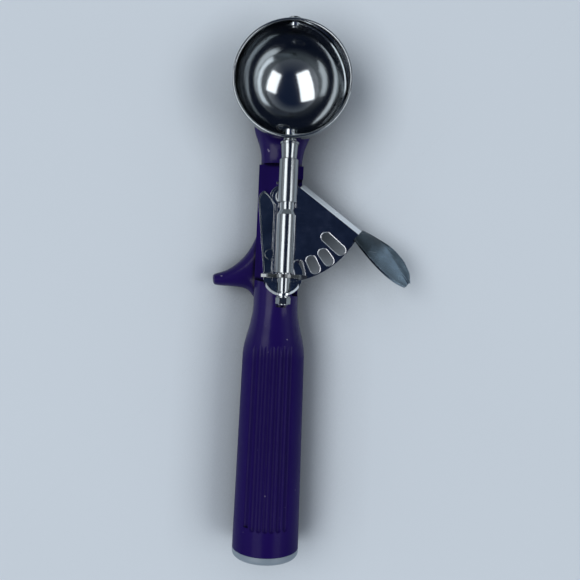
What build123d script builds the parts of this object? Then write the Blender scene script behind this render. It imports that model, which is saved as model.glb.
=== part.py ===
from build123d import *
import os
from math import atan2, cos, degrees, radians, sin, sqrt

os.makedirs("parts", exist_ok=True)

# A lever ice cream scoop. Squeezing the thumb pad swings a windowed sector plate, whose
# windows drive a star wheel on a long shaft, and the shaft sweeps a scraper round the bowl.
# +Y runs from the end of the grip to the bowl and +Z up out of the bowl. The origin is the
# centre of the end cap's flat face, on the axis of the grip. All sizes are in millimetres.

# ---- Grip, neck and finger hook -------------------------------------------------------
grip_half_width = 12.4       # at the seam with the end cap
grip_half_height = 11.6
grip_top_half_width = 11.5   # where the shoulder starts
grip_top_half_height = 10.8
neck_half_width = 8.3
neck_half_height = 7.6
shoulder_start = 74.0        # y where the grip starts to narrow
shoulder_length = 19.0
core_radius = 7.6            # hollow core of the grip
core_past_shoulder = 3.0     # the core ends this far past the shoulder's start

flute_count = 7              # on the front face, and as many behind
flute_spacing = 2.4
flute_radius = 1.7
flute_depth = 0.46
flute_start = 13.0
flute_run_out = 12.0         # past the shoulder's start

hook_behind_ear = 2.2        # from the centre of the frame's ear back to the hook's tip
hook_half_height = 5.2
hook_top = -0.9              # the hook stays under the swinging sector plate
hook_end_radius = 1.2
# Out from the neck's side, then how far the hook reaches below and above the tip's y.
hook_sections = [
    (-2.4, 8.5, 19.5),
    (0.7, 5.8, 16.0),
    (3.2, 3.4, 11.0),
    (6.2, 2.7, 7.3),
    (9.7, 2.5, 4.4),
    (13.2, 2.4, 2.7),
    (16.1, 1.7, 1.7),
]

# ---- End cap --------------------------------------------------------------------------
cap_lip = 3.0
cap_edge = 1.6
cap_plug_length = 8.0
cap_plug_wall = 2.0

# ---- Fits -----------------------------------------------------------------------------
fixed_gap = 0.02             # between pieces that are riveted, pinned or pressed together
running_gap = 0.05           # between a shaft and its bearing, on the radius
free_gap = 0.3               # between faces that pass each other

# ---- Bowl -----------------------------------------------------------------------------
bowl_radius = 20.6           # inside
bowl_wall = 0.6
skirt_over_bush = 0.4        # straight wall above the bush's flange
bead_radius = 0.5

# ---- Sector plate, thumb pad and frame --------------------------------------------------
frame_thickness = 1.0
washer_thickness = 0.45
plate_thickness = 1.0
plate_beyond_mesh = 2.1      # the plate's edge, from the circle where the wheel meshes
pivot_ahead = 40.4           # from the start of the neck to the plate's pivot
pivot_radius = 1.5
pivot_head_radius = 2.6
pivot_head_height = 0.8
hub_radius = 3.7             # rounded end of the plate, about its pivot
plate_left = -2.4            # left edge, from the pivot
window_count = 5
window_pitch = 11.5          # degrees
window_width = 3.4
window_reach = 5.4           # from the meshing circle in to a window's inner end
long_window_reach = 9.2      # the last window is longer
window_margin = 0.7          # rim left outside a window
window_round = 0.5           # rounded upper edge of a window
flange_angle = 36.4          # the flanged edge points this far below +X
flange_offset = 6.85         # from the pivot to the bend
flange_start = 3.0
flange_drop = 4.0
flange_lean = 2.3
left_rib_height = 1.6
left_rib_width = 0.7

pad_length = 27.5
pad_width = 13.0
pad_root_width = 5.6
pad_thickness = 1.2
pad_turn = 42.0              # the pad points this far below +X
pad_tilt = 45.0              # its face leans up and outwards
pad_bulge_radius = 16.0
pad_tip_width = 3.0
pad_lap = 1.5                # its root is cut back from here to meet the flange's end

# ---- Star wheel and shaft -----------------------------------------------------------------
wheel_teeth = 8
wheel_thickness = 1.2
mesh_radius = 29.6           # from the plate's pivot to the star wheel's plane
tooth_height = 0.7           # beyond the pitch circle
tooth_tip_width = 0.8
tooth_root_width = 2.2
wheel_root_radius = 4.6
shaft_x = 2.8
shaft_radius = 1.8
journal_step = 0.3           # the front end is thinner, where it enters the bowl
pivot_aside = 2.0            # the pivot lies this far to the left of the shaft

sleeve_wall = 0.93           # over the spring housing's neck
sleeve_length = 15.3
sleeve_ahead = 12.3          # from the plate's pivot to the sleeve's front end
sleeve_gap_to_bowl = 7.45    # room for the collar between the sleeve and the bowl
foot_width = 4.6
foot_length = 5.4
sleeve_pin_radius = 0.45
sleeve_pin_back = 8.0        # from the sleeve's front end
sleeve_pin_stub = 0.8        # stands out of the sleeve on its left
sleeve_screw_radius = 1.3
sleeve_screw_head = 2.6
sleeve_screw_slot = 0.7
sleeve_screw_grip = 4.5      # into the sleeve's foot

housing_wall = 0.6
housing_neck_length = 2.7    # bare neck between sleeve and cone
housing_cone_length = 1.8
housing_socket = 8.6         # the neck's length inside the sleeve
rear_bush_length = 2.0
spring_wire = 0.6
spring_turns = 16
spring_gap = 0.175           # inside and outside the spring's coils
collar_wall = 0.88           # at the collar's rear end
collar_flare = 0.7           # its front end is this much larger
collar_bead = 0.8

ear_radius = 7.4             # outside of the frame's curved ear
ear_thickness = 0.8
ear_half_width = 6.0
ear_x = 2.3
ear_ahead = 0.332            # of the star wheel's middle plane
ear_head_wall = 1.6          # round the shaft, at the ear's top
ear_shoulder = 8.2           # height of the ear's full width
frame_pivot_radius = 4.6
tongue_rim = 0.5             # coined rim round the tongue on the left of the frame's floor
tongue_rim_height = 0.3
tongue_left = -8.0
tongue_left_low = -5.0       # the left edge leans in towards the ear
tongue_right = -1.6
tongue_low = 0.4             # ahead of the ear's centre
tongue_shoulder = 1.8        # behind the pivot
tongue_tip_x = -5.9
tongue_tip = 2.2             # ahead of the pivot
tongue_cheek = 3.8           # behind the pivot
spacer_wall = 0.45
tail_washer_width = 0.8
tail_washer_thickness = 0.5
tail_nut_wall = 0.55         # from the shaft to the nut's flats
tail_nut_length = 2.3
tail_stub = 0.3

# ---- Scraper --------------------------------------------------------------------------
scraper_width = 4.6
scraper_thickness = 0.6
scraper_gap = 0.4            # from the middle of the band to the bowl
scraper_rest = 20.0          # degrees below the rim, on the right
hub_length = 2.0
scraper_hub_wall = 0.9
scraper_eye_length = 1.1
scraper_pin_radius = 0.5
stud_radius = 1.0
stud_head_radius = 2.7
stud_head_length = 1.2
stud_end_radius = 1.6
stud_end_length = 0.5
bush_wall = 0.6
bush_flange_width = 0.3
bush_flange = 0.6

# ---- Rivets ------------------------------------------------------------------------------
bowl_rivet_radius = 1.5
bowl_rivet_face_radius = 3.0
bowl_rivet_head_radius = 3.2
bowl_rivet_head = 1.2
bowl_rivet_dimple = 0.3
bowl_rivet_grip = 3.6        # from the bowl's outside to the rivet's head
bowl_rivet_down = 47.0       # degrees below the rim plane
bowl_rivet_aside = 11.0      # degrees to the left of the shaft
frame_rivet_x = -2.9
frame_rivet_ahead = 7.8      # of the ear's centre
frame_rivet_radius = 1.2
frame_rivet_head_radius = 1.9
rivet_tail_radius = 2.4
rivet_tail_height = 1.0
rivet_seat_depth = 1.2       # of the flats under the neck that the tails close on

# ---- Sizes that follow ---------------------------------------------------------------------
bowl_outside = bowl_radius + bowl_wall
plate_bottom = frame_thickness + washer_thickness
plate_top = plate_bottom + plate_thickness
wheel_pitch_radius = wheel_teeth * window_pitch / 360 * mesh_radius
plate_radius = mesh_radius + plate_beyond_mesh
shaft_z = plate_bottom + plate_thickness / 2 + wheel_pitch_radius
wheel_radius = wheel_pitch_radius + tooth_height
journal_radius = shaft_radius - journal_step
housing_bore = shaft_radius + spring_wire + 2 * spring_gap
housing_radius = housing_bore + housing_wall
housing_neck_radius = shaft_radius + running_gap + housing_wall
sleeve_radius = housing_neck_radius + fixed_gap + sleeve_wall
collar_rear_radius = shaft_radius + fixed_gap + collar_wall
collar_front_radius = collar_rear_radius + collar_flare
scraper_hub_radius = journal_radius + scraper_hub_wall
tail_washer_radius = shaft_radius + tail_washer_width
ear_head_radius = shaft_radius + ear_head_wall
shoulder_end = shoulder_start + shoulder_length
pivot_x = shaft_x - pivot_aside
pivot_y = shoulder_end + pivot_ahead
wheel_y = pivot_y - sqrt(mesh_radius**2 - pivot_aside**2)
ear_y = wheel_y + ear_ahead
hook_y = ear_y - hook_behind_ear
frame_rivet_y = ear_y + frame_rivet_ahead
tongue_low_y = ear_y + tongue_low
tongue_shoulder_y = pivot_y - tongue_shoulder
tongue_tip_y = pivot_y + tongue_tip
tongue_cheek_y = pivot_y - tongue_cheek
first_window = degrees(atan2(pivot_aside, pivot_y - wheel_y))
sleeve_front = pivot_y + sleeve_ahead
sleeve_rear = sleeve_front - sleeve_length
bowl_near = sleeve_front + sleeve_gap_to_bowl
bowl_y = bowl_near + bowl_outside
cone_front = sleeve_rear - housing_neck_length
cone_rear = cone_front - housing_cone_length
housing_rear = wheel_y + wheel_thickness / 2 + 2 * free_gap
step_y = sleeve_front + free_gap
ear_inner_radius = ear_radius - ear_thickness
ear_outside_y = ear_y - sqrt(ear_radius**2 - (shaft_x - ear_x) ** 2)
tail_washer_y = ear_outside_y - free_gap / 2
tail_nut_y = tail_washer_y - tail_washer_thickness
shaft_tail = tail_nut_y - tail_nut_length - tail_stub
band_outside = bowl_radius - scraper_gap
hub_near = bowl_y - band_outside + free_gap / 2
journal_front = hub_near + hub_length
bush_radius = journal_radius + bush_wall
bush_flange_radius = bush_radius + bush_flange_width
bowl_skirt = bush_flange_radius + skirt_over_bush
collar_front = bowl_near - bush_flange - 2 * free_gap
spacer_reach = shaft_x - ear_x + shaft_radius + spacer_wall
spacer_rear = ear_y - sqrt(ear_inner_radius**2 - spacer_reach**2) + free_gap / 2
eye_far = bowl_y + band_outside - free_gap / 2
eye_near = eye_far - scraper_eye_length
rivet_seat_z = rivet_seat_depth - neck_half_height
flange_end = sqrt(plate_radius**2 - flange_offset**2)
flange_wall = plate_thickness * sqrt(flange_drop**2 + flange_lean**2) / flange_drop
relief_x = pivot_x + flange_offset - 2 * plate_thickness + free_gap

bowl_centre = Vector(shaft_x, bowl_y, shaft_z)
shaft_axis = Axis((shaft_x, 0, shaft_z), (0, 1, 0))
shaft_side = Plane(origin=(shaft_x, 0, shaft_z), x_dir=(0, 1, 0), z_dir=(1, 0, 0))
along_flange = Vector(cos(radians(flange_angle)), -sin(radians(flange_angle)), 0)
out_of_flange = Vector(sin(radians(flange_angle)), cos(radians(flange_angle)), 0)
rivet_inwards = cos(radians(bowl_rivet_down))
rivet_direction = Vector(
    -sin(radians(bowl_rivet_aside)) * rivet_inwards,
    -cos(radians(bowl_rivet_aside)) * rivet_inwards,
    -sin(radians(bowl_rivet_down)),
)
rivet_line = Plane(origin=bowl_centre, z_dir=rivet_direction)
rivet_side = Plane(
    origin=bowl_centre,
    x_dir=rivet_direction,
    z_dir=rivet_direction.cross(Vector(0, 0, 1)),
)
scraper_plane = Plane(
    origin=bowl_centre,
    x_dir=(cos(radians(scraper_rest)), 0, -sin(radians(scraper_rest))),
    z_dir=(sin(radians(scraper_rest)), 0, cos(radians(scraper_rest))),
)


def across(y):
    """The plane across the shaft at y, facing the bowl, with its origin on the shaft's axis."""
    return Plane(origin=(shaft_x, y, shaft_z), x_dir=(1, 0, 0), z_dir=(0, 1, 0))


def grip_section(y):
    """Half width and half height of the grip, the shoulder and the neck at y."""
    along = min(y / shoulder_start, 1)
    wide = grip_half_width + (grip_top_half_width - grip_half_width) * along
    high = grip_half_height + (grip_top_half_height - grip_half_height) * along
    turn = min(max((y - shoulder_start) / shoulder_length, 0), 1)
    ease = turn * turn * (3 - 2 * turn)
    return wide + (neck_half_width - wide) * ease, high + (neck_half_height - high) * ease


def grip_plane(y, z=0):
    """A plane across the grip, facing the bowl, with its X along the scoop's X."""
    return Plane(origin=(0, y, z), x_dir=(1, 0, 0), z_dir=(0, 1, 0))


def flute_point(k, y, face):
    """The centre of flute k at y, on the front for face 1 and on the back for face -1."""
    half_width, half_height = grip_section(y)
    share = (k - (flute_count - 1) / 2) * flute_spacing / grip_half_width
    rise = sqrt(1 - share**2)
    out = Vector(share / half_width, 0, face * rise / half_height).normalized()
    on_face = Vector(half_width * share, y, face * half_height * rise)
    return on_face + out * (flute_radius - flute_depth)


def left_plane(out, y, z):
    """A plane that faces left, at out from the grip's axis, with its X along the scoop's Y."""
    return Plane(origin=(-out, y, z), x_dir=(0, 1, 0), z_dir=(-1, 0, 0))


# ---- Handle ------------------------------------------------------------------------------
screw_y = sleeve_front - foot_length / 2
sleeve_pin_plane = Plane(
    origin=(
        shaft_x,
        sleeve_front - sleeve_pin_back,
        shaft_z - shaft_radius - 2 * running_gap - sleeve_pin_radius,
    ),
    x_dir=(0, 1, 0),
    z_dir=(-1, 0, 0),
)
neck_holes = [
    (pivot_x, pivot_y, pivot_radius, rivet_tail_radius),
    (frame_rivet_x, frame_rivet_y, frame_rivet_radius, rivet_tail_radius),
    (shaft_x, screw_y, sleeve_screw_radius, sleeve_screw_head),
]
shoulder_steps = [shoulder_start + shoulder_length * k / 4 for k in range(5)]
neck_end = step_y - 0.5
# Where a section stands along the grip, its half width, its middle's height, its half height.
cradle_sections = [
    (neck_end, neck_half_width - 0.5, -2.4, 4.8),
    (bowl_near - 2.2, neck_half_width - 0.1, -3.2, 5.2),
    (bowl_near + 2.0, neck_half_width + 1.2, -4.6, 6.0),
    (bowl_near + 7.0, neck_half_width + 2.8, -6.6, 4.6),
    (bowl_near + 12.0, neck_half_width + 1.6, -8.9, 2.3),
]

with BuildPart() as handle:
    for y in (cap_lip, shoulder_start):
        with BuildSketch(grip_plane(y)):
            Ellipse(*grip_section(y))
    loft(ruled=True)
    for y in shoulder_steps:
        with BuildSketch(grip_plane(y)):
            Ellipse(*grip_section(y))
    loft()
    with BuildSketch(grip_plane(shoulder_end)):
        Ellipse(neck_half_width, neck_half_height)
    extrude(amount=neck_end - shoulder_end)
    for y, half_width, z, half_height in cradle_sections:
        with BuildSketch(grip_plane(y, z)):
            Ellipse(half_width, half_height)
    loft()
    # The hook grows out of the neck's left side as a loft of ever smaller ellipses.
    for out, below, above in hook_sections:
        half_height = hook_half_height * (1 - 0.03 * max(out, 0))
        middle = hook_y + (above - below) / 2
        with BuildSketch(left_plane(neck_half_width + out, middle, hook_top - half_height)):
            Ellipse((above + below) / 2, half_height)
    loft()
    fillet(faces().sort_by(Axis.X)[0].edges(), hook_end_radius)
    # Flat seat for the mechanism, with the room that the sector plate swings through.
    with BuildSketch(Plane.XY):
        with Locations((pivot_x, pivot_y)):
            Circle(plate_radius + 2 * free_gap)
        with Locations((ear_x, ear_y)):
            Circle(ear_radius + fixed_gap)
        with Locations((0, step_y + 20)):
            Rectangle(8 * neck_half_width, 40, mode=Mode.SUBTRACT)
    extrude(amount=4 * neck_half_height, mode=Mode.SUBTRACT)
    # Lower shoulder on the right, where the plate's flange passes the neck.
    with BuildSketch(Plane.XY.offset(plate_top - flange_drop - free_gap)):
        with Locations((relief_x, ear_y - ear_radius)):
            Rectangle(
                4 * neck_half_width,
                pivot_y + flange_offset + free_gap - ear_y + ear_radius,
                align=(Align.MIN, Align.MIN),
            )
    extrude(amount=4 * neck_half_height, mode=Mode.SUBTRACT)
    # Groove under the shaft's tail.
    with BuildSketch(across(shaft_tail - 1)):
        Circle(tail_washer_radius + 2 * free_gap)
    extrude(amount=ear_y - shaft_tail, mode=Mode.SUBTRACT)
    # Spherical seat for the bowl, and the bowl rivet's hole and counterbore.
    with Locations(bowl_centre):
        Sphere(bowl_outside + fixed_gap, mode=Mode.SUBTRACT)
        Cylinder(
            bowl_outside + fixed_gap,
            4 * bowl_outside,
            align=(Align.CENTER, Align.CENTER, Align.MIN),
            mode=Mode.SUBTRACT,
        )
    with BuildSketch(rivet_line.offset(bowl_outside - 1)):
        Circle(bowl_rivet_radius + fixed_gap)
    extrude(amount=bowl_outside, mode=Mode.SUBTRACT)
    with BuildSketch(rivet_line.offset(bowl_outside + bowl_rivet_grip)):
        Circle(bowl_rivet_head_radius + free_gap)
    extrude(amount=bowl_outside, mode=Mode.SUBTRACT)
    # Holes and flats for the pivot, the frame's rivet and the sleeve's screw.
    for x, y, radius, flat_radius in neck_holes:
        with BuildSketch(Plane.XY):
            with Locations((x, y)):
                Circle(radius + fixed_gap)
        extrude(amount=-4 * neck_half_height, mode=Mode.SUBTRACT)
        with BuildSketch(Plane.XY.offset(rivet_seat_z)):
            with Locations((x, y)):
                Circle(flat_radius + free_gap)
        extrude(amount=-4 * neck_half_height, mode=Mode.SUBTRACT)
    # Flutes on the front and the back of the grip.
    for face in (1, -1):
        for k in range(flute_count):
            start = flute_point(k, flute_start, face)
            end = flute_point(k, shoulder_start, face)
            line = Plane(origin=start, z_dir=end - start)
            with BuildSketch(line):
                Circle(flute_radius)
            extrude(amount=shoulder_start + flute_run_out - flute_start, mode=Mode.SUBTRACT)
            with Locations(start):
                Sphere(flute_radius, mode=Mode.SUBTRACT)
    # Hollow core, open at the end cap.
    with BuildSketch(grip_plane(cap_lip)):
        Circle(core_radius)
    extrude(amount=shoulder_start + core_past_shoulder - cap_lip, mode=Mode.SUBTRACT)

handle.part.label = "handle"
export_step(handle.part, "parts/handle.step")

with BuildPart() as end_cap:
    with BuildSketch(grip_plane(0)):
        Ellipse(*grip_section(cap_lip))
    extrude(amount=cap_lip)
    fillet(edges().group_by(Axis.Y)[0], cap_edge)
    with BuildSketch(grip_plane(cap_lip)):
        Circle(core_radius - fixed_gap)
        Circle(core_radius - fixed_gap - cap_plug_wall, mode=Mode.SUBTRACT)
    extrude(amount=cap_plug_length)

end_cap.part.label = "end_cap"
export_step(end_cap.part, "parts/end_cap.step")

# ---- Bowl, its rivet, bush and tip stud ------------------------------------------------------
with BuildPart() as bowl:
    with BuildSketch(Plane(origin=bowl_centre, x_dir=(1, 0, 0), z_dir=(0, -1, 0))):
        with BuildLine():
            CenterArc((0, 0), bowl_outside, -90, 90)
            Polyline(
                (bowl_outside, 0),
                (bowl_outside, bowl_skirt),
                (bowl_radius, bowl_skirt),
                (bowl_radius, 0),
            )
            CenterArc((0, 0), bowl_radius, 0, -90)
            Line((0, -bowl_radius), (0, -bowl_outside))
        make_face()
        with Locations((bowl_outside - bowl_wall / 2, bowl_skirt)):
            Circle(bead_radius)
    revolve(axis=Axis(bowl_centre, (0, 0, 1)))
    with BuildSketch(across(bowl_near - 1)):
        Circle(bush_radius + fixed_gap)
    extrude(amount=bowl_wall + 2, mode=Mode.SUBTRACT)
    with BuildSketch(across(bowl_y + bowl_radius - 1)):
        Circle(stud_radius + fixed_gap)
    extrude(amount=bowl_wall + 2, mode=Mode.SUBTRACT)
    with BuildSketch(rivet_line.offset(bowl_radius - 1)):
        Circle(bowl_rivet_face_radius + fixed_gap)
    extrude(amount=bowl_wall + 2, mode=Mode.SUBTRACT)

bowl.part.label = "bowl"
export_step(bowl.part, "parts/bowl.step")

with BuildPart() as bowl_rivet:
    with BuildSketch(rivet_side):
        face_edge = sqrt(bowl_radius**2 - bowl_rivet_face_radius**2)
        face_back = sqrt(bowl_outside**2 - bowl_rivet_face_radius**2)
        head_seat = bowl_outside + bowl_rivet_grip
        with BuildLine():
            dimple = ThreePointArc(
                (bowl_radius + bowl_rivet_dimple, 0),
                (bowl_radius + bowl_rivet_dimple * 0.6, bowl_rivet_face_radius / 2),
                (face_edge, bowl_rivet_face_radius),
            )
            Polyline(
                dimple @ 1,
                (face_back, bowl_rivet_face_radius),
                (face_back, bowl_rivet_radius),
                (head_seat, bowl_rivet_radius),
                (head_seat, bowl_rivet_head_radius),
                (head_seat + bowl_rivet_head, bowl_rivet_head_radius),
                (head_seat + bowl_rivet_head, 0),
                dimple @ 0,
            )
        make_face()
    revolve(axis=Axis(bowl_centre, rivet_direction))

bowl_rivet.part.label = "bowl_rivet"
export_step(bowl_rivet.part, "parts/bowl_rivet.step")

with BuildPart() as bowl_bush:
    with BuildSketch(shaft_side):
        bore = journal_radius + running_gap
        Polygon(
            (bowl_near - bush_flange - fixed_gap, bore),
            (bowl_near - bush_flange - fixed_gap, bush_flange_radius),
            (bowl_near - fixed_gap, bush_flange_radius),
            (bowl_near - fixed_gap, bush_radius),
            (bowl_near + bowl_wall + free_gap / 2, bush_radius),
            (bowl_near + bowl_wall + free_gap / 2, bore),
            align=None,
        )
    revolve(axis=shaft_axis)

bowl_bush.part.label = "bowl_bush"
export_step(bowl_bush.part, "parts/bowl_bush.step")

with BuildPart() as tip_stud:
    with BuildSketch(shaft_side):
        head = bowl_y + bowl_outside + fixed_gap
        end = eye_near - free_gap / 2
        Polygon(
            (end - stud_end_length, 0),
            (end - stud_end_length, stud_end_radius),
            (end, stud_end_radius),
            (end, stud_radius),
            (head, stud_radius),
            (head, stud_head_radius),
            (head + stud_head_length * 0.6, stud_head_radius),
            (head + stud_head_length, stud_head_radius * 0.7),
            (head + stud_head_length, 0),
            align=None,
        )
    revolve(axis=shaft_axis)

tip_stud.part.label = "tip_stud"
export_step(tip_stud.part, "parts/tip_stud.step")

# ---- Scraper and its pin ---------------------------------------------------------------------
pin_plane = Plane(
    origin=(shaft_x, hub_near + hub_length * 0.6, shaft_z),
    z_dir=scraper_plane.z_dir,
)

with BuildPart() as scraper:
    with BuildSketch(scraper_plane):
        Circle(band_outside)
        Circle(band_outside - scraper_thickness, mode=Mode.SUBTRACT)
        Rectangle(
            bowl_outside,
            2 * bowl_outside,
            align=(Align.MIN, Align.CENTER),
            mode=Mode.INTERSECT,
        )
    extrude(amount=scraper_width / 2, both=True)
    with BuildSketch(across(hub_near)):
        Circle(scraper_hub_radius)
    extrude(amount=hub_length)
    with BuildSketch(across(eye_near)):
        Circle(scraper_width / 2)
    extrude(amount=scraper_eye_length)
    with BuildSketch(across(hub_near - 1)):
        Circle(journal_radius + fixed_gap)
    extrude(amount=hub_length + 2, mode=Mode.SUBTRACT)
    with BuildSketch(across(eye_near - 1)):
        Circle(stud_radius + running_gap)
    extrude(amount=scraper_eye_length + 2, mode=Mode.SUBTRACT)
    with BuildSketch(pin_plane):
        Circle(scraper_pin_radius + fixed_gap)
    extrude(amount=2 * scraper_hub_radius, both=True, mode=Mode.SUBTRACT)

scraper.part.label = "scraper"
export_step(scraper.part, "parts/scraper.step")

with BuildPart() as scraper_pin:
    with BuildSketch(pin_plane):
        Circle(scraper_pin_radius)
    extrude(amount=scraper_hub_radius, both=True)

scraper_pin.part.label = "scraper_pin"
export_step(scraper_pin.part, "parts/scraper_pin.step")

# ---- Shaft and what turns with it --------------------------------------------------------------
with BuildPart() as drive_shaft:
    with BuildSketch(shaft_side):
        Polygon(
            (shaft_tail, 0),
            (shaft_tail, shaft_radius),
            (collar_front, shaft_radius),
            (collar_front, journal_radius),
            (journal_front, journal_radius),
            (journal_front, 0),
            align=None,
        )
    revolve(axis=shaft_axis)
    with BuildSketch(pin_plane):
        Circle(scraper_pin_radius + fixed_gap)
    extrude(amount=2 * scraper_hub_radius, both=True, mode=Mode.SUBTRACT)

drive_shaft.part.label = "drive_shaft"
export_step(drive_shaft.part, "parts/drive_shaft.step")

with BuildPart() as shaft_collar:
    with BuildSketch(shaft_side):
        bore = shaft_radius + fixed_gap
        Polygon(
            (sleeve_front + free_gap, bore),
            (sleeve_front + free_gap, collar_rear_radius),
            (collar_front - collar_bead, collar_front_radius - free_gap),
            (collar_front - collar_bead, collar_front_radius),
            (collar_front, collar_front_radius),
            (collar_front, bore),
            align=None,
        )
    revolve(axis=shaft_axis)

shaft_collar.part.label = "shaft_collar"
export_step(shaft_collar.part, "parts/shaft_collar.step")

with BuildPart() as star_wheel:
    with BuildSketch(across(wheel_y - wheel_thickness / 2)):
        Circle(wheel_root_radius)
        with PolarLocations(wheel_root_radius - 1, wheel_teeth):
            Polygon(
                (0, -tooth_root_width / 2),
                (wheel_radius - wheel_root_radius + 1, -tooth_tip_width / 2),
                (wheel_radius - wheel_root_radius + 1, tooth_tip_width / 2),
                (0, tooth_root_width / 2),
                align=None,
            )
        Circle(shaft_radius + fixed_gap, mode=Mode.SUBTRACT)
    extrude(amount=wheel_thickness)

star_wheel.part.label = "star_wheel"
export_step(star_wheel.part, "parts/star_wheel.step")

with BuildPart() as spacer:
    with BuildSketch(across(spacer_rear)):
        Circle(shaft_radius + spacer_wall)
        Circle(shaft_radius + fixed_gap, mode=Mode.SUBTRACT)
    extrude(amount=wheel_y - wheel_thickness / 2 - fixed_gap - spacer_rear)

spacer.part.label = "spacer"
export_step(spacer.part, "parts/spacer.step")

with BuildPart() as tail_washer:
    with BuildSketch(across(tail_nut_y)):
        Circle(tail_washer_radius)
        Circle(shaft_radius + fixed_gap, mode=Mode.SUBTRACT)
    extrude(amount=tail_washer_thickness)

tail_washer.part.label = "tail_washer"
export_step(tail_washer.part, "parts/tail_washer.step")

with BuildPart() as tail_nut:
    with BuildSketch(across(tail_nut_y - tail_nut_length)):
        RegularPolygon(shaft_radius + tail_nut_wall, 6, major_radius=False)
        Circle(shaft_radius + fixed_gap, mode=Mode.SUBTRACT)
    extrude(amount=tail_nut_length - fixed_gap)

tail_nut.part.label = "tail_nut"
export_step(tail_nut.part, "parts/tail_nut.step")

# ---- Sleeve, spring housing and return spring ------------------------------------------------------
with BuildPart() as front_sleeve:
    with BuildSketch(across(sleeve_rear)):
        Circle(sleeve_radius)
    extrude(amount=sleeve_length)
    with BuildSketch(Plane.XY):
        with Locations((shaft_x, sleeve_front)):
            Rectangle(foot_width, foot_length, align=(Align.CENTER, Align.MAX))
    extrude(amount=shaft_z - sleeve_radius * 0.75)
    with BuildSketch(across(sleeve_rear)):
        Circle(shaft_radius + running_gap)
    extrude(amount=sleeve_length, mode=Mode.SUBTRACT)
    with BuildSketch(across(sleeve_rear)):
        Circle(housing_neck_radius + fixed_gap)
    extrude(amount=housing_socket + fixed_gap, mode=Mode.SUBTRACT)
    with BuildSketch(sleeve_pin_plane):
        Circle(sleeve_pin_radius + fixed_gap)
    extrude(amount=4 * sleeve_radius, both=True, mode=Mode.SUBTRACT)
    with BuildSketch(Plane.XY):
        with Locations((shaft_x, screw_y)):
            Circle(sleeve_screw_radius + fixed_gap)
    extrude(amount=sleeve_screw_grip + fixed_gap, mode=Mode.SUBTRACT)

front_sleeve.part.label = "front_sleeve"
export_step(front_sleeve.part, "parts/front_sleeve.step")

with BuildPart() as sleeve_pin:
    with BuildSketch(sleeve_pin_plane):
        Circle(sleeve_pin_radius)
    extrude(amount=sleeve_radius + sleeve_pin_stub)
    extrude(faces().sort_by(Axis.X)[-1], amount=sleeve_radius * 0.6)

sleeve_pin.part.label = "sleeve_pin"
export_step(sleeve_pin.part, "parts/sleeve_pin.step")

with BuildPart() as sleeve_screw:
    with BuildSketch(Plane.XY.offset(rivet_seat_z)):
        with Locations((shaft_x, screw_y)):
            Circle(sleeve_screw_radius)
    extrude(amount=sleeve_screw_grip - rivet_seat_z)
    with BuildSketch(Plane.XY.offset(rivet_seat_z - rivet_tail_height)):
        with Locations((shaft_x, screw_y)):
            Circle(sleeve_screw_head)
    extrude(amount=rivet_tail_height)
    chamfer(edges().group_by(Axis.Z)[0], rivet_tail_height / 3)
    with BuildSketch(Plane.XY.offset(rivet_seat_z - rivet_tail_height)):
        with Locations((shaft_x, screw_y)):
            Rectangle(2 * sleeve_screw_head, sleeve_screw_slot)
    extrude(amount=rivet_tail_height / 2, mode=Mode.SUBTRACT)

sleeve_screw.part.label = "sleeve_screw"
export_step(sleeve_screw.part, "parts/sleeve_screw.step")

with BuildPart() as spring_housing:
    with BuildSketch(shaft_side):
        neck_front = sleeve_rear + housing_socket
        neck_bore = shaft_radius + running_gap
        Polygon(
            (housing_rear, housing_bore),
            (housing_rear, housing_radius),
            (cone_rear, housing_radius),
            (cone_front, housing_neck_radius),
            (neck_front, housing_neck_radius),
            (neck_front, neck_bore),
            (cone_rear, neck_bore),
            (cone_rear, housing_bore),
            align=None,
        )
    revolve(axis=shaft_axis)
    with BuildSketch(sleeve_pin_plane):
        Circle(sleeve_pin_radius + fixed_gap)
    extrude(amount=4 * sleeve_radius, both=True, mode=Mode.SUBTRACT)

spring_housing.part.label = "spring_housing"
export_step(spring_housing.part, "parts/spring_housing.step")

with BuildPart() as rear_bush:
    with BuildSketch(across(housing_rear)):
        Circle(housing_bore - fixed_gap)
        Circle(shaft_radius + running_gap, mode=Mode.SUBTRACT)
    extrude(amount=rear_bush_length)

rear_bush.part.label = "rear_bush"
export_step(rear_bush.part, "parts/rear_bush.step")

spring_start = housing_rear + rear_bush_length + spring_wire / 2 + fixed_gap
spring_height = cone_rear - spring_wire / 2 - fixed_gap - spring_start

with BuildPart() as return_spring:
    with BuildLine() as coil:
        Helix(
            pitch=spring_height / spring_turns,
            height=spring_height,
            radius=(shaft_radius + housing_bore) / 2,
            center=(shaft_x, spring_start, shaft_z),
            direction=(0, 1, 0),
        )
    with BuildSketch(Plane(origin=coil.line @ 0, z_dir=coil.line % 0)):
        Circle(spring_wire / 2)
    sweep(path=coil.line, is_frenet=True)

return_spring.part.label = "return_spring"
export_step(return_spring.part, "parts/return_spring.step")

# ---- Mechanism frame ----------------------------------------------------------------------------
with BuildSketch(Plane.XY) as tongue:
    with BuildLine():
        crown = ThreePointArc(
            (tongue_left, tongue_shoulder_y),
            (tongue_left + 0.7, tongue_tip_y - 1.1),
            (tongue_tip_x, tongue_tip_y),
        )
        cheek = ThreePointArc(
            crown @ 1,
            ((tongue_tip_x + tongue_right) / 2 + 0.5, (tongue_tip_y + tongue_cheek_y) / 2 + 0.7),
            (tongue_right, tongue_cheek_y),
        )
        Polyline(
            cheek @ 1,
            (tongue_right, tongue_low_y),
            (tongue_left_low, tongue_low_y),
            crown @ 0,
        )
    make_face()

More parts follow.
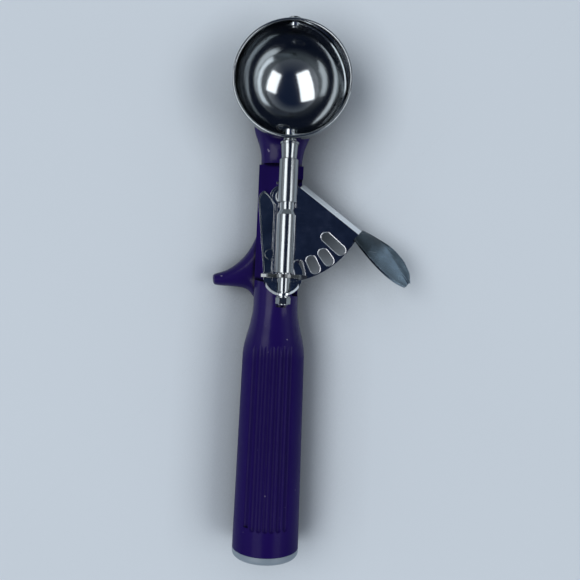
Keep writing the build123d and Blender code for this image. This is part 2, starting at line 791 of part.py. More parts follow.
with BuildSketch(Plane.XY) as frame_floor:
    add(tongue.sketch)
    Polygon(
        (tongue_right - 1, tongue_cheek_y),
        (tongue_left_low, tongue_low_y + 0.5),
        (tongue_left_low, ear_y),
        (relief_x - free_gap / 2, ear_y),
        (relief_x - free_gap / 2, pivot_y - hub_radius),
        (pivot_x + frame_pivot_radius, pivot_y),
        (pivot_x - frame_pivot_radius, pivot_y),
        align=None,
    )
    with Locations((pivot_x, pivot_y)):
        Circle(frame_pivot_radius)
    with Locations((ear_x, ear_y)):
        Circle(ear_radius)

with BuildSketch(Plane(origin=(0, ear_y, 0), x_dir=(1, 0, 0), z_dir=(0, -1, 0))) as ear_face:
    with Locations((ear_x, 0)):
        Rectangle(2 * ear_half_width, ear_shoulder, align=(Align.CENTER, Align.MIN))
    with Locations((shaft_x, shaft_z)):
        Circle(ear_head_radius)
    make_hull()

with BuildPart() as mechanism_frame:
    with BuildSketch(Plane.XY):
        with Locations((ear_x, ear_y)):
            Circle(ear_radius)
            Circle(ear_inner_radius, mode=Mode.SUBTRACT)
            Rectangle(
                2 * ear_radius,
                ear_radius,
                align=(Align.CENTER, Align.MAX),
                mode=Mode.INTERSECT,
            )
    extrude(amount=2 * shaft_z)
    extrude(ear_face.sketch, amount=2 * ear_radius, mode=Mode.INTERSECT)
    extrude(frame_floor.sketch, amount=frame_thickness)
    with BuildSketch(Plane.XY.offset(frame_thickness)):
        add(tongue.sketch)
        offset(amount=-tongue_rim, mode=Mode.SUBTRACT)
    extrude(amount=tongue_rim_height)
    with BuildSketch(across(ear_y - 2 * ear_radius)):
        Circle(shaft_radius + running_gap)
    extrude(amount=2 * ear_radius, mode=Mode.SUBTRACT)
    with BuildSketch(Plane.XY):
        with Locations((pivot_x, pivot_y)):
            Circle(pivot_radius + fixed_gap)
        with Locations((frame_rivet_x, frame_rivet_y)):
            Circle(frame_rivet_radius + fixed_gap)
    extrude(amount=2 * frame_thickness, mode=Mode.SUBTRACT)
    with BuildSketch(Plane.XY.offset(frame_thickness / 2)):
        with Locations((frame_rivet_x, frame_rivet_y)):
            Circle(frame_rivet_head_radius + 2 * fixed_gap)
    extrude(amount=frame_thickness, mode=Mode.SUBTRACT)

mechanism_frame.part.label = "mechanism_frame"
export_step(mechanism_frame.part, "parts/mechanism_frame.step")

with BuildPart() as frame_rivet:
    with BuildSketch(Plane.XY.offset(rivet_seat_z - rivet_tail_height)):
        with Locations((frame_rivet_x, frame_rivet_y)):
            Circle(rivet_tail_radius)
    extrude(amount=rivet_tail_height)
    with BuildSketch(Plane.XY.offset(rivet_seat_z)):
        with Locations((frame_rivet_x, frame_rivet_y)):
            Circle(frame_rivet_radius)
    extrude(amount=frame_thickness / 2 - rivet_seat_z)
    with BuildSketch(Plane.XY.offset(frame_thickness / 2)):
        with Locations((frame_rivet_x, frame_rivet_y)):
            Circle(frame_rivet_head_radius)
    extrude(amount=frame_thickness / 2 + tongue_rim_height / 3)

frame_rivet.part.label = "frame_rivet"
export_step(frame_rivet.part, "parts/frame_rivet.step")

# ---- Pivot, sector plate and thumb pad ------------------------------------------------------------
with BuildPart() as pivot_rivet:
    with BuildSketch(Plane.XY.offset(rivet_seat_z - rivet_tail_height)):
        with Locations((pivot_x, pivot_y)):
            Circle(rivet_tail_radius)
    extrude(amount=rivet_tail_height)
    with BuildSketch(Plane.XY.offset(rivet_seat_z)):
        with Locations((pivot_x, pivot_y)):
            Circle(pivot_radius)
    extrude(amount=plate_top + 2 * running_gap - rivet_seat_z)
    with BuildSketch(Plane.XY.offset(plate_top + 2 * running_gap)):
        with Locations((pivot_x, pivot_y)):
            Circle(pivot_head_radius)
    extrude(amount=pivot_head_height)
    fillet(edges().group_by(Axis.Z)[-1], pivot_head_height * 0.6)

pivot_rivet.part.label = "pivot_rivet"
export_step(pivot_rivet.part, "parts/pivot_rivet.step")

with BuildPart() as pivot_washer:
    with BuildSketch(Plane.XY.offset(frame_thickness)):
        with Locations((pivot_x, pivot_y)):
            Circle(pivot_head_radius - free_gap)
            Circle(pivot_radius + fixed_gap, mode=Mode.SUBTRACT)
    extrude(amount=washer_thickness - fixed_gap)

pivot_washer.part.label = "pivot_washer"
export_step(pivot_washer.part, "parts/pivot_washer.step")

plate_plane = Plane(origin=(pivot_x, pivot_y, plate_bottom))
flange_origin = Vector(pivot_x, pivot_y, plate_bottom) + along_flange * flange_start
flange_plane = Plane(origin=flange_origin, x_dir=out_of_flange, z_dir=along_flange)
window_inner = mesh_radius - window_reach
window_middle = (window_inner + plate_radius - window_margin) / 2
window_length = plate_radius - window_margin - window_inner
long_window_inner = mesh_radius - long_window_reach
long_window_middle = (long_window_inner + plate_radius - window_margin) / 2
long_window_length = plate_radius - window_margin - long_window_inner
window_bridge = 2 * (window_inner + window_width / 2) * sin(radians(window_pitch / 2))
window_edge = min(window_round, 0.35 * (window_bridge - window_width))
left_angle = degrees(atan2(-sqrt(plate_radius**2 - plate_left**2), plate_left))
right_angle = -flange_angle + degrees(atan2(flange_offset, flange_end))

with BuildPart() as sector_plate:
    with BuildSketch(plate_plane):
        with BuildLine():
            rim = CenterArc((0, 0), plate_radius, left_angle, right_angle - left_angle)
            Polyline(
                rim @ 1,
                (out_of_flange.X * flange_offset, out_of_flange.Y * flange_offset),
                (plate_left, hub_radius * 0.6),
                rim @ 0,
            )
        make_face()
        Circle(hub_radius)
        with PolarLocations(
            window_middle,
            window_count - 1,
            start_angle=first_window - 90,
            angular_range=window_pitch * (window_count - 1),
        ):
            SlotOverall(window_length, window_width, mode=Mode.SUBTRACT)
        with PolarLocations(
            long_window_middle,
            1,
            start_angle=first_window - 90 + window_pitch * (window_count - 1),
        ):
            SlotOverall(long_window_length, window_width, mode=Mode.SUBTRACT)
    extrude(amount=plate_thickness)
    windows = faces().sort_by(Axis.Z)[-1].inner_wires()
    fillet([edge for window in windows for edge in window.edges()], window_edge)
    with BuildSketch(plate_plane):
        Circle(pivot_radius + running_gap)
    extrude(amount=plate_thickness, mode=Mode.SUBTRACT)
    with BuildSketch(flange_plane):
        with BuildLine():
            outer = FilletPolyline(
                (flange_offset - 2 * plate_thickness, plate_thickness),
                (flange_offset, plate_thickness),
                (flange_offset + flange_lean, plate_thickness - flange_drop),
                radius=1.6 * plate_thickness,
            )
            inner = FilletPolyline(
                (flange_offset - 2 * plate_thickness, 0),
                (flange_offset + flange_lean * plate_thickness / flange_drop - flange_wall, 0),
                (flange_offset + flange_lean - flange_wall, plate_thickness - flange_drop),
                radius=0.6 * plate_thickness,
            )
            Line(outer @ 0, inner @ 0)
            Line(outer @ 1, inner @ 1)
        make_face()
    extrude(amount=flange_end - flange_start)
    # The rib folded up along the left edge.
    with BuildSketch(plate_plane.offset(plate_thickness)):
        with Locations((plate_left, -hub_radius)):
            Rectangle(
                left_rib_width,
                window_inner - hub_radius + window_width,
                align=(Align.MIN, Align.MAX),
            )
    extrude(amount=left_rib_height)

sector_plate.part.label = "sector_plate"
export_step(sector_plate.part, "parts/sector_plate.step")

pad_across = cos(radians(pad_tilt))
pad_origin = (
    Vector(pivot_x, pivot_y, plate_bottom)
    + along_flange * (flange_end - pad_lap)
    + out_of_flange * (flange_offset + flange_lean / 2)
)
pad_plane = Plane(
    origin=pad_origin,
    x_dir=(cos(radians(pad_turn)), -sin(radians(pad_turn)), 0),
    z_dir=(
        sin(radians(pad_turn)) * pad_across,
        cos(radians(pad_turn)) * pad_across,
        sin(radians(pad_tilt)),
    ),
)
pad_end_plane = Plane(origin=pad_origin, x_dir=pad_plane.y_dir, z_dir=pad_plane.x_dir)

with BuildPart() as thumb_pad:
    with BuildSketch(pad_plane):
        with BuildLine():
            low = ThreePointArc(
                (0, -pad_root_width / 2),
                (pad_length * 0.58, -pad_width / 2),
                (pad_length * 0.97, -pad_tip_width / 2),
            )
            high = ThreePointArc(
                (0, pad_root_width / 2),
                (pad_length * 0.58, pad_width / 2),
                (pad_length * 0.97, pad_tip_width / 2),
            )
            ThreePointArc(low @ 1, (pad_length, 0), high @ 1)
            Line(low @ 0, high @ 0)
        make_face()
    extrude(amount=pad_width / 2, both=True)
    with BuildSketch(pad_end_plane):
        with Locations((0, -pad_bulge_radius)):
            Circle(pad_bulge_radius)
            Circle(pad_bulge_radius - pad_thickness, mode=Mode.SUBTRACT)
    extrude(amount=pad_length, mode=Mode.INTERSECT)
    with BuildSketch(Plane(origin=flange_origin, x_dir=out_of_flange, z_dir=along_flange)):
        Rectangle(4 * pad_width, 4 * pad_width)
    extrude(amount=flange_end - flange_start + fixed_gap, mode=Mode.SUBTRACT)
    with BuildSketch(plate_plane.offset(-free_gap)):
        Circle(plate_radius + 2 * fixed_gap)
    extrude(amount=plate_thickness + 2 * free_gap, mode=Mode.SUBTRACT)

thumb_pad.part.label = "thumb_pad"
export_step(thumb_pad.part, "parts/thumb_pad.step")
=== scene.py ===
from math import atan, cos, radians, sin

import bpy
from mathutils import Matrix, Vector


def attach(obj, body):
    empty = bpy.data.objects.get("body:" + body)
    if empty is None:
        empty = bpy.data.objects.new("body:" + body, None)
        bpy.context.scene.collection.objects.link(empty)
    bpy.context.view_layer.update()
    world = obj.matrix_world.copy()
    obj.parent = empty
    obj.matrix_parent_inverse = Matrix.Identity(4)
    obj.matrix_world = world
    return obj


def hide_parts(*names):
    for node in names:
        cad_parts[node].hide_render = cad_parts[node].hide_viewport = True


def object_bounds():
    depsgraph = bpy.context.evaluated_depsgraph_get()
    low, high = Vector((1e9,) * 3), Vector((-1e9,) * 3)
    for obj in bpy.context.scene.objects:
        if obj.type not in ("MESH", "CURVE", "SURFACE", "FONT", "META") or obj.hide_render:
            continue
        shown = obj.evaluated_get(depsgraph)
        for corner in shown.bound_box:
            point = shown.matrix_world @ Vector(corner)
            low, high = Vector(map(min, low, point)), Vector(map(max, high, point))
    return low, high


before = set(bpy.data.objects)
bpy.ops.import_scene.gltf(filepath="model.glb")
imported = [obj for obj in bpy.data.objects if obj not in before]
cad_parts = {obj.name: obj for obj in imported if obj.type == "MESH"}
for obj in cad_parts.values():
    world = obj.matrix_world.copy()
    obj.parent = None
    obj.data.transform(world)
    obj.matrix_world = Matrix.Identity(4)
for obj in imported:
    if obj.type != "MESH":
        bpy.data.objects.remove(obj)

bl_info = {
    "name": "Lever Ice Cream Scoop",
    "version": (1, 0, 0),
    "blender": (4, 5, 0),
    "location": "View3D > Sidebar > Scoop",
    "description": "Finishes, thumb pad and stage for a lever ice cream scoop",
    "category": "Object",
}

CAD_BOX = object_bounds()
MM = 0.001

BOWL_CENTRE = Vector((2.8, 174.35, 9.51)) * MM
# The rivet's face, from the bowl's centre: how far off, down from the rim, left of the axis.
RIVET_AWAY = 20.6 * MM
RIVET_DOWN = radians(47)
RIVET_LEFT = radians(11)
RIVET_WAY = Vector((
    -sin(RIVET_LEFT) * cos(RIVET_DOWN), -cos(RIVET_LEFT) * cos(RIVET_DOWN), -sin(RIVET_DOWN)))
RIVET_CENTRE = BOWL_CENTRE + RIVET_WAY * RIVET_AWAY
# The dark ring on the rivet: its inner edge starts and ends, then its outer edge does.
RIVET_RING = (2.1 * MM, 2.4 * MM, 2.7 * MM, 3.0 * MM)

# Along the grip, where the plastic turns from dull to glossy.
GLOSS_STARTS = 77 * MM
GLOSS_FULL = 86 * MM

# The thumb pad's own frame: along the pad, across it, and out of its face.
PAD_ROOT = Vector((29.25, 122.37, 1.45)) * MM
PAD_TURN = radians(42.0)
PAD_TILT = radians(45.0)
PAD_THICKNESS = 1.1 * MM
PAD_EDGE = 0.3 * MM
PAD_WIDEST = 13.3 * MM
PAD_ROWS = 20
# A vertex belongs to a row or a column that it is within this part of a step of.
PAD_NEAR = 0.2
# Along the pad, then the edge on the plate's side and the outer edge, across it, in mm.
PAD_OUTLINE = (
    (1.5, -4.6, 2.2), (3.0, -5.0, 3.2), (5.5, -5.6, 4.4), (8.5, -6.1, 5.5), (11.5, -6.6, 6.2),
    (14.5, -6.8, 6.0), (17.5, -6.9, 5.4), (20.5, -6.6, 4.4), (23.0, -6.0, 3.1), (25.0, -5.2, 1.9),
    (26.4, -4.5, 0.3), (27.4, -3.8, -1.2),
)
# The crease: where it starts along the pad, its place across there, and how far it falls back.
PAD_CREASE = (12.0, 5.4, 0.49)
# The corner beyond the crease rises in bands: how many, how wide in mm, and the rise of each.
PAD_FOLD = (8, 0.45, 0.22 * MM)
# Along the pad, where the painted shade on its root half gives way to the painted highlight on
# its outer half.
PAD_SHADE_ENDS = 12.5 * MM
PAD_HIGHLIGHT_STARTS = 17.5 * MM

# How bright these steels are beside the scoop's steel colour.
BOWL_LEVEL = 0.82
SCRAPER_LEVEL = 1.3
WHEEL_LEVEL = 0.42
TURNED_LEVEL = 0.72
# The sheet steel's painted highlight colour on edges, bends and sides, then the colours of the
# brass and the spring wire.
EDGE_HIGHLIGHT = (0.86, 0.88, 0.9)
BRASS = (0.6, 0.45, 0.2)
SPRING_WIRE = (0.4, 0.4, 0.41)

# The room: its side walls low and high up, its near and far end walls, its skirting and ceiling.
SIDE_WALLS = ((0.14, 0.15, 0.17, 1), (0.54, 0.57, 0.61, 1))
END_WALLS = ((0.16, 0.18, 0.21, 1), (0.3, 0.34, 0.37, 1))
SKIRTING = (0.5, 0.55, 0.6, 1)
CEILING = (0.018, 0.03, 0.07, 1)

# The soft lamps: the way to each from the bowl, its width and height, and its power.
LAMP_DISTANCE = 6.0
LAMPS = (
    ("left_window", (-0.485, -0.1, 0.87), (6.8, 3.2), 220.0),
    ("right_window", (0.66, -0.155, 0.735), (4.3, 2.45), 94.0),
)
FLOOR_SIZE = 30.0
FLOOR_MIDDLE = (0.0, 0.1)

# The camera stands over the neck, turned a little. Its view is 580 wide at a distance of 622.
CAMERA_OVER = (5.19 * MM, 99.02 * MM)
CAMERA_TURN = radians(2.5)
CAMERA_ANGLE = 2 * atan(290 / 622)


# ---- Shader nodes as arithmetic ---------------------------------------------------------------
class Wire:
    """An output socket that adds Math nodes when it is used in an expression."""

    def __init__(self, finish, socket):
        self.finish = finish
        self.socket = socket

    def _math(self, operation, *terms):
        return self.finish.node("Math", {"operation": operation}, dict(enumerate(terms)))

    def __add__(self, other):
        return self._math("ADD", self, other)

    def __radd__(self, other):
        return self._math("ADD", other, self)

    def __sub__(self, other):
        return self._math("SUBTRACT", self, other)

    def __rsub__(self, other):
        return self._math("SUBTRACT", other, self)

    def __mul__(self, other):
        return self._math("MULTIPLY", self, other)

    def __rmul__(self, other):
        return self._math("MULTIPLY", other, self)

    def __abs__(self):
        return self._math("ABSOLUTE", self)


class Finish:
    """A material, or a world, whose nodes are added one by one and wired to its surface."""

    def __init__(self, name, world=False):
        self.made = (bpy.data.worlds if world else bpy.data.materials).new(name)
        self.made.use_nodes = True
        self.tree = self.made.node_tree
        self.tree.nodes.clear()
        self.output = self.tree.nodes.new("ShaderNodeOutput" + ("World" if world else "Material"))

    def node(self, kind, settings=None, sockets=None, out=0):
        """Adds a node, sets its settings, then its sockets, and returns one of its outputs."""
        made = self.tree.nodes.new("ShaderNode" + kind)
        for key, value in (settings or {}).items():
            setattr(made, key, value)
        for key, value in (sockets or {}).items():
            if isinstance(value, Wire):
                self.tree.links.new(value.socket, made.inputs[key])
            else:
                made.inputs[key].default_value = value
        return Wire(self, made.outputs[out])

    def place(self, scale=(1, 1, 1), turn=(0, 0, 0), centre=(0, 0, 0)):
        """Object coordinates in metres, centred, turned and scaled."""
        coordinates = self.node("TexCoord", out="Object")
        moved = self.node("VectorMath", {"operation": "SUBTRACT"}, {0: coordinates, 1: centre})
        return self.node("Mapping", None, {"Vector": moved, "Rotation": turn, "Scale": scale})

    def noise(self, where, scale, detail=3.0, roughness=0.5):
        """Cloudy noise about 0.5, in so many steps of detail."""
        sockets = {"Vector": where, "Scale": scale, "Detail": detail, "Roughness": roughness}
        return self.node("TexNoise", None, sockets)

    def ramp(self, value, low, high):
        """value from low to high becomes 0 to 1, held at both ends."""
        sockets = {"Value": value, "From Min": low, "From Max": high}
        return self.node("MapRange", {"clamp": True}, sockets)

    def mix(self, factor, first, second):
        """Blends two colours, through the colour sockets of a Mix node."""
        return self.node("Mix", {"data_type": "RGBA"}, {0: factor, 6: first, 7: second}, out=2)

    def bump(self, height, strength, distance, edge=None):
        """A normal that follows height, over the normal of a soft edge when one is given."""
        sockets = {"Height": height, "Strength": strength, "Distance": distance}
        if edge is not None:
            sockets["Normal"] = edge
        return self.node("Bump", None, sockets)

    def part(self, vector, axis):
        """One part of a vector: 0, 1 or 2."""
        return self.node("SeparateXYZ", None, {0: vector}, out=axis)

    def off_the_flat(self):
        """0 where the surface faces straight up, 1 round its edges, bends and sides."""
        normal = self.node("TexCoord", out="Normal")
        return self.ramp(1 - self.part(normal, 2), 0.03, 0.2)

    def open_sky(self, reach, own_piece_only):
        """1 in the open, less where something stands near, within reach."""
        settings = {"samples": 8, "only_local": own_piece_only}
        return self.node("AmbientOcclusion", settings, {"Distance": reach}, out="AO")

    def hollows(self, reach):
        """0 in the open, towards 1 down in a groove."""
        return self.ramp(self.open_sky(reach, own_piece_only=True), 0.97, 0.76)

    def soft_edge(self, radius):
        """A normal that rounds the edges."""
        return self.node("Bevel", {"samples": 4}, {"Radius": radius})

    def shade(self, sockets):
        """Wires a Principled shader with these sockets to the output."""
        return self.surface(self.node("BsdfPrincipled", None, sockets))

    def surface(self, shader):
        """Wires a shader to the output and returns the finished material or world."""
        self.tree.links.new(shader.socket, self.output.inputs["Surface"])
        return self.made


def scaled(colour, level):
    """The colour, brighter or darker."""
    return [part * level for part in colour]


def rgba(colour, level=1.0):
    """The colour at this level, with its alpha, as a socket takes it."""
    return (*scaled(colour, level), 1.0)


# ---- Finishes ---------------------------------------------------------------------------------
def grip_plastic(colour):
    """Moulded plastic that hands have dulled along the grip and left glossy at the neck, with
    painted shade down in its grooves.
    """
    f = Finish("grip_plastic")
    where = f.place()
    cloud = f.noise(where, 55.0, 3.0)
    smudge = f.ramp(f.noise(f.place((1, 0.35, 1)), 140.0, 4.0, 0.6), 0.42, 0.72)
    orange_peel = f.noise(where, 900.0, 2.0)
    specks = f.ramp(f.noise(where, 520.0, 1.0), 0.79, 0.83)
    tone = f.mix(cloud, rgba(colour, 0.86), rgba(colour, 1.14))
    # Painted shade: down in the grooves the colour darkens towards a fifth of itself.
    tone = f.mix(f.hollows(1.6 * MM), tone, rgba(colour, 0.2))
    tone = f.mix(specks * 0.35, tone, (0.5, 0.45, 0.6, 1))
    glossy = f.ramp(f.part(where, 1) + 0.008 * cloud, GLOSS_STARTS, GLOSS_FULL)
    return f.shade({
        "Base Color": tone,
        "Roughness": 0.4 + 0.1 * smudge,
        "Specular IOR Level": 0.02,
        "Coat Weight": (0.18 + 0.82 * glossy) * (1 - 0.35 * smudge),
        "Coat Roughness": 0.2,
        "Coat IOR": 1.26,
        "Normal": f.bump(orange_peel, 0.12, 0.2 * MM, f.soft_edge(0.4 * MM)),
    })


def cap_plastic(colour):
    """Fine-grained plastic with a little grime."""
    f = Finish("cap_plastic")
    where = f.place()
    cloud = f.noise(where, 120.0, 3.0)
    grain = f.noise(where, 2200.0, 2.0)
    grime = f.ramp(f.noise(where, 300.0, 4.0, 0.7), 0.55, 0.8)
    tone = f.mix(cloud, rgba(colour, 0.93), rgba(colour, 1.05))
    tone = f.mix(grime * 0.25, tone, rgba(colour, 0.6))
    return f.shade({
        "Base Color": tone,
        "Roughness": 0.38 + 0.12 * cloud,
        "IOR": 1.5,
        "Normal": f.bump(grain, 0.1, 0.1 * MM, f.soft_edge(0.3 * MM)),
    })


def bowl_steel(colour):
    """Spun and mirror-polished: faint rings about the bowl's axis and a haze of fine wipes."""
    f = Finish("bowl_steel")
    where = f.place(centre=BOWL_CENTRE)
    rings = f.node(
        "TexWave", {"wave_type": "RINGS", "rings_direction": "Z"},
        {"Vector": where, "Scale": 420.0, "Distortion": 1.5, "Detail": 2.0}, out="Fac")
    haze = f.noise(where, 60.0, 4.0, 0.6)
    wipes = f.noise(f.place((1, 6, 6), (0.4, 0.2, 0.7)), 700.0, 2.0)
    tone = f.mix(haze, rgba(colour, 0.9), rgba(colour, 1.02))
    return f.shade({
        "Base Color": tone,
        "Metallic": 1.0,
        "Roughness": 0.07 + 0.05 * haze + 0.04 * wipes,
        "Normal": f.bump(rings, 0.03, 0.05 * MM, f.soft_edge(0.15 * MM)),
    })


def turned_steel(name, colour, base_roughness):
    """Polished round bar: fine lines round the shaft's axis and a few cross scratches."""
    f = Finish(name)
    lines = f.noise(f.place((60, 1800, 60)), 1.0, 2.0, 0.6)
    scratches = f.ramp(f.noise(f.place((900, 60, 300), (0.2, 0.3, 0.5)), 1.0, 2.0), 0.6, 0.75)
    haze = f.noise(f.place(), 220.0, 4.0, 0.6)
    tone = f.mix(haze, rgba(colour, 0.88), rgba(colour, 1.04))
    return f.shade({
        "Base Color": tone,
        "Metallic": 1.0,
        "Roughness": base_roughness + 0.08 * haze + 0.06 * scratches,
        "Normal": f.bump(lines + 0.6 * scratches, 0.12, 0.06 * MM, f.soft_edge(0.18 * MM)),
    })


def sheet_steel(name, colour, base_roughness, grain_turn, edge, highlight=None):
    """Rolled sheet, pressed and polished: long faint grain, handling scratches, soft edges.

    Edges, bends and sides that do not face straight up take a painted highlight colour.
    """
    f = Finish(name)
    grain = f.noise(f.place((40, 1500, 40), (0, 0, grain_turn)), 1.0, 3.0, 0.6)
    scratches = f.ramp(f.noise(f.place((80, 1400, 80), (0, 0, 1.1)), 1.0, 2.0), 0.66, 0.74)
    haze = f.noise(f.place(), 160.0, 5.0, 0.65)
    tone = f.mix(f.ramp(haze, 0.3, 0.7), rgba(colour, 0.72), rgba(colour, 1.14))
    tone = f.mix(scratches * 0.2, tone, (0.9, 0.9, 0.92, 1))
    roughness = base_roughness + 0.09 * f.ramp(haze, 0.45, 0.75) + 0.12 * scratches
    # Painted highlight: edges, bends and sides that don't face straight up lighten to the given
    # bright colour, and grow rougher.
    if highlight:
        highlit = f.off_the_flat()
        tone = f.mix(highlit, tone, rgba(highlight))
        roughness = roughness + 0.12 * highlit
    return f.shade({
        "Base Color": tone,
        "Metallic": 1.0,
        "Roughness": roughness,
        "Normal": f.bump(grain + 0.8 * scratches, 0.06, 0.05 * MM, f.soft_edge(edge)),
    })


def pad_steel(colour):
    """Satin sheet that thumbs have dulled in clouds, with painted shade on the half by the plate
    and a painted highlight on the outer half.
    """
    f = Finish("pad_steel")
    cloud = f.noise(f.place(), 150.0, 5.0, 0.62)
    along = f.part(f.place(turn=(0, 0, PAD_TURN), centre=PAD_ROOT), 0)
    lit_outer_half = f.ramp(along + 0.008 * cloud, PAD_SHADE_ENDS, PAD_HIGHLIGHT_STARTS)
    grain = f.noise(f.place((40, 1500, 40), (0, 0, 0.75)), 1.0, 3.0, 0.6)
    scratches = f.ramp(f.noise(f.place((90, 1300, 90), (0, 0, 0.2)), 1.0, 2.0), 0.66, 0.74)
    # Painted shade on the root half and a painted highlight on the outer half.
    tone = f.mix(lit_outer_half, rgba(colour, 0.36), rgba(colour, 1.4))
    tone = f.mix(f.ramp(cloud, 0.4, 0.7), f.mix(0.35, tone, (0, 0, 0, 1)), tone)
    tone = f.mix(scratches * 0.3, tone, (0.6, 0.62, 0.65, 1))
    return f.shade({
        "Base Color": tone,
        "Metallic": 1.0,
        "Roughness": 0.18 + 0.14 * cloud + 0.1 * scratches,
        "Normal": f.bump(grain + 0.8 * scratches, 0.1, 0.05 * MM, f.soft_edge(0.2 * MM)),
    })


def rivet_steel(colour):
    """Polished rivet face with a dark ring of scale near its edge."""
    f = Finish("rivet_steel")
    away = f.node("VectorMath", {"operation": "DISTANCE"}, {0: f.place(), 1: RIVET_CENTRE},
                  out="Value")
    inner_start, inner_end, outer_start, outer_end = RIVET_RING
    ring = f.ramp(away, inner_start, inner_end) * f.ramp(away, outer_end, outer_start)
    grain = f.noise(f.place(), 900.0, 3.0)
    return f.shade({
        "Base Color": f.mix(ring, rgba(colour), rgba(colour, 0.15)),
        "Metallic": 1.0,
        "Roughness": 0.1 + 0.08 * grain + 0.2 * ring,
        "Normal": f.bump(grain, 0.05, 0.05 * MM),
    })


def bush_brass(colour):
    """Turned brass, gone dull in patches."""
    f = Finish("bush_brass")
    lines = f.noise(f.place((60, 1500, 60)), 1.0, 2.0)
    dull = f.noise(f.place(), 400.0, 4.0)
    tone = f.mix(dull, rgba(colour, 0.75), rgba(colour, 1.05))
    return f.shade({
        "Base Color": tone,
        "Metallic": 1.0,
        "Roughness": 0.25 + 0.15 * dull,
        "Normal": f.bump(lines, 0.1, 0.05 * MM),
    })


# ---- Modelling helpers ------------------------------------------------------------------------
def clear_selection():
    """Leaves edit mode and deselects everything."""
    if bpy.context.object and bpy.context.object.mode != "OBJECT":
        bpy.ops.object.mode_set(mode="OBJECT")
    bpy.ops.object.select_all(action="DESELECT")


def finish_nodes(material, *nodes):
    """Makes the material the only one of each of these nodes."""
    for node in nodes:
        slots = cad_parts[node].data.materials
        slots.clear()
        slots.append(material)


def select_vertices(piece, keep):
    """In edit mode, selects the vertices for which keep(place) is true."""
    bpy.ops.object.mode_set(mode="OBJECT")
    for vertex in piece.data.vertices:
        vertex.select = keep(vertex.co)
    for edge in piece.data.edges:
        edge.select = all(piece.data.vertices[v].select for v in edge.vertices)
    for face in piece.data.polygons:
        face.select = all(piece.data.vertices[v].select for v in face.vertices)
    bpy.ops.object.mode_set(mode="EDIT")


def settle(piece):
    """Leaves the piece's object at the origin, unturned and unscaled."""
    clear_selection()
    piece.select_set(True)
    bpy.context.view_layer.objects.active = piece
    bpy.ops.object.transform_apply(location=True, rotation=True, scale=True)


# ---- Settings ---------------------------------------------------------------------------------
class ScoopColours(bpy.types.PropertyGroup):
    """The colours that the finishes start from"""

    grip: bpy.props.FloatVectorProperty(
        name="Grip", description="Colour of the plastic grip", subtype="COLOR",
        size=3, min=0, max=1, default=(0.012, 0.0045, 0.08))
    cap: bpy.props.FloatVectorProperty(
        name="End cap", description="Colour of the grip's end cap", subtype="COLOR",
        size=3, min=0, max=1, default=(0.21, 0.265, 0.32))
    steel: bpy.props.FloatVectorProperty(
        name="Steel", description="Colour of the polished steel", subtype="COLOR",
        size=3, min=0, max=1, default=(0.42, 0.45, 0.47))
    plate: bpy.props.FloatVectorProperty(
        name="Plate", description="Colour of the sector plate's steel", subtype="COLOR",
        size=3, min=0, max=1, default=(0.42, 0.43, 0.46))
    pad: bpy.props.FloatVectorProperty(
        name="Thumb pad", description="Colour of the thumb pad's steel", subtype="COLOR",
        size=3, min=0, max=1, default=(0.18, 0.24, 0.29))
    floor: bpy.props.FloatVectorProperty(
        name="Floor", description="Colour of the floor", subtype="COLOR",
        size=3, min=0, max=1, default=(0.68, 0.75, 0.81))


class ScoopSizes(bpy.types.PropertyGroup):
    """The sizes that the CAD does not fix"""

    pad_crown: bpy.props.FloatProperty(
        name="Pad crown", description="Rise of the thumb pad's face at its middle",
        unit="LENGTH", precision=5, min=0, max=0.004, default=0.0006)
    floor_height: bpy.props.FloatProperty(
        name="Floor height", description="Height of the floor under the scoop",
        unit="LENGTH", precision=5, default=CAD_BOX[0][2])
    camera_height: bpy.props.FloatProperty(
        name="Camera height", description="Height of the camera over the neck's flat seat",
        unit="LENGTH", precision=4, min=0.1, max=2.0, default=0.233)


# ---- Pieces -----------------------------------------------------------------------------------
class SCOOP_OT_grip(bpy.types.Operator):
    """Finish the moulded grip and its end cap"""

    bl_idname = "scoop.grip"
    bl_label = "Grip and end cap"

    def execute(self, context):
        colours = context.scene.scoop_colours
        finish_nodes(grip_plastic(colours.grip), "handle")
        finish_nodes(cap_plastic(colours.cap), "end_cap")
        return {"FINISHED"}


class SCOOP_OT_bowl(bpy.types.Operator):
    """Finish the bowl, its rivet, the scraper and the star wheel"""

    bl_idname = "scoop.bowl"
    bl_label = "Bowl and scraper"

    def execute(self, context):
        steel = context.scene.scoop_colours.steel
        finish_nodes(bowl_steel(scaled(steel, BOWL_LEVEL)), "bowl")
        finish_nodes(rivet_steel(steel), "bowl_rivet")
        bright = sheet_steel(
            "scraper_steel", scaled(steel, SCRAPER_LEVEL),
            base_roughness=0.1, grain_turn=0.0, edge=0.1 * MM)
        finish_nodes(bright, "scraper")
        dark = sheet_steel(
            "wheel_steel", scaled(steel, WHEEL_LEVEL),
            base_roughness=0.2, grain_turn=0.0, edge=0.1 * MM)
        finish_nodes(dark, "star_wheel")
        return {"FINISHED"}


class SCOOP_OT_shaft(bpy.types.Operator):
    """Finish the shaft, its sleeve and housing, and the small turned pieces"""

    bl_idname = "scoop.shaft"
    bl_label = "Shaft, sleeve and housing"

    def execute(self, context):
        steel = context.scene.scoop_colours.steel
        finish_nodes(
            turned_steel("turned_steel", scaled(steel, TURNED_LEVEL), base_roughness=0.12),
            "drive_shaft", "shaft_collar", "front_sleeve", "sleeve_pin", "sleeve_screw",
            "spring_housing", "tail_nut", "tail_washer", "spacer", "bowl_bush", "tip_stud",
            "scraper_pin", "pivot_rivet")
        finish_nodes(bush_brass(BRASS), "rear_bush", "pivot_washer")
        wire = turned_steel("spring_steel", SPRING_WIRE, base_roughness=0.3)
        finish_nodes(wire, "return_spring")
        return {"FINISHED"}


